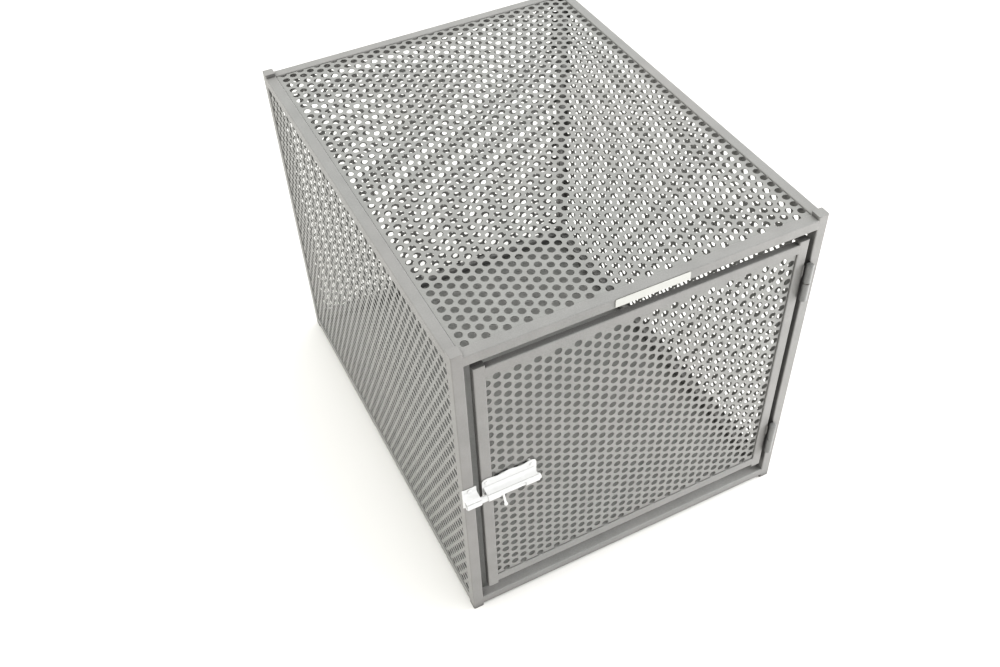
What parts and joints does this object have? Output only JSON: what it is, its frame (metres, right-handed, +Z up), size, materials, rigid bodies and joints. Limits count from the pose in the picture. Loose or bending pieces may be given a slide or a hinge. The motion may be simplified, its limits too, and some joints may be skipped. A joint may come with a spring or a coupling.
{
  "type": "kennel cage",
  "caption": "Veterinary kennel cage of welded square tube and perforated sheet, with one hinged front door closed by a barrel bolt.",
  "frame": {"origin": "on the floor under the middle of the whole part's box, which includes the bolt's knob in front", "axes": "+X runs along the front from the latch side to the hinge side, +Y from the door to the back, +Z up"},
  "size_m": [0.5017, 0.6722, 0.51],
  "materials": {
    "frame": "warm light grey hammertone paint, satin",
    "sheet": "light grey hammertone paint, satin, on perforated steel",
    "hinge": "slightly greenish light grey paint, semi-gloss",
    "bolt": "near-white gloss paint",
    "steel": "bare steel, lightly oiled",
    "label": "blank white label plate, matt"
  },
  "bodies": {
    "cage": {"post_front_left": "frame", "top_cap_front_left": "frame", "foot_cap_front_left": "frame", "post_front_right": "frame", "top_cap_front_right": "frame", "foot_cap_front_right": "frame", "post_back_left": "frame", "top_cap_back_left": "frame", "foot_cap_back_left": "frame", "post_back_right": "frame", "top_cap_back_right": "frame", "foot_cap_back_right": "frame", "rail_top_front": "frame", "rail_top_back": "frame", "rail_top_left": "frame", "rail_top_right": "frame", "rail_bottom_front": "frame", "rail_bottom_back": "frame", "rail_bottom_left": "frame", "rail_bottom_right": "frame", "sheet_top": "sheet", "sheet_floor": "sheet", "sheet_left": "sheet", "sheet_right": "sheet", "sheet_back": "sheet", "label_plate": "label", "hinge_upper_post_knuckle": "hinge", "hinge_upper_pin": "steel", "hinge_upper_washer": "steel", "hinge_lower_post_knuckle": "hinge", "hinge_lower_pin": "steel", "hinge_lower_washer": "steel", "keeper": "bolt", "keeper_rivet_1": "bolt", "keeper_rivet_2": "bolt"},
    "door": {"door_stile_left": "frame", "door_stile_right": "frame", "door_rail_top": "frame", "door_cap_top_left": "frame", "door_cap_top_right": "frame", "door_rail_bottom": "frame", "door_cap_bottom_left": "frame", "door_cap_bottom_right": "frame", "door_sheet": "sheet", "hinge_upper_door_knuckle": "hinge", "hinge_lower_door_knuckle": "hinge", "bolt_plate": "bolt", "bolt_casing": "bolt", "bolt_rivet_1": "bolt", "bolt_rivet_2": "bolt", "bolt_rivet_3": "bolt", "bolt_rivet_4": "bolt"},
    "bolt_rod": {"bolt_rod": "bolt"},
    "bolt_knob": {"bolt_knob": "bolt"}
  },
  "joints": [
    {"name": "door_swing", "type": "hinge", "parent": "cage", "child": "door", "pos_m": [0.232, -0.3192, 0.26], "axis": [0, 0, 1], "range_deg": [0, 180]},
    {"name": "bolt_slide", "type": "slide", "parent": "door", "child": "bolt_rod", "axis": [1, 0, 0], "range_m": [0, 0.027]},
    {"name": "bolt_turn", "type": "hinge", "parent": "bolt_rod", "child": "bolt_knob", "pos_m": [-0.2025, -0.3254, 0.26], "axis": [-1, 0, 0], "range_deg": [0, 75]}
  ]
}
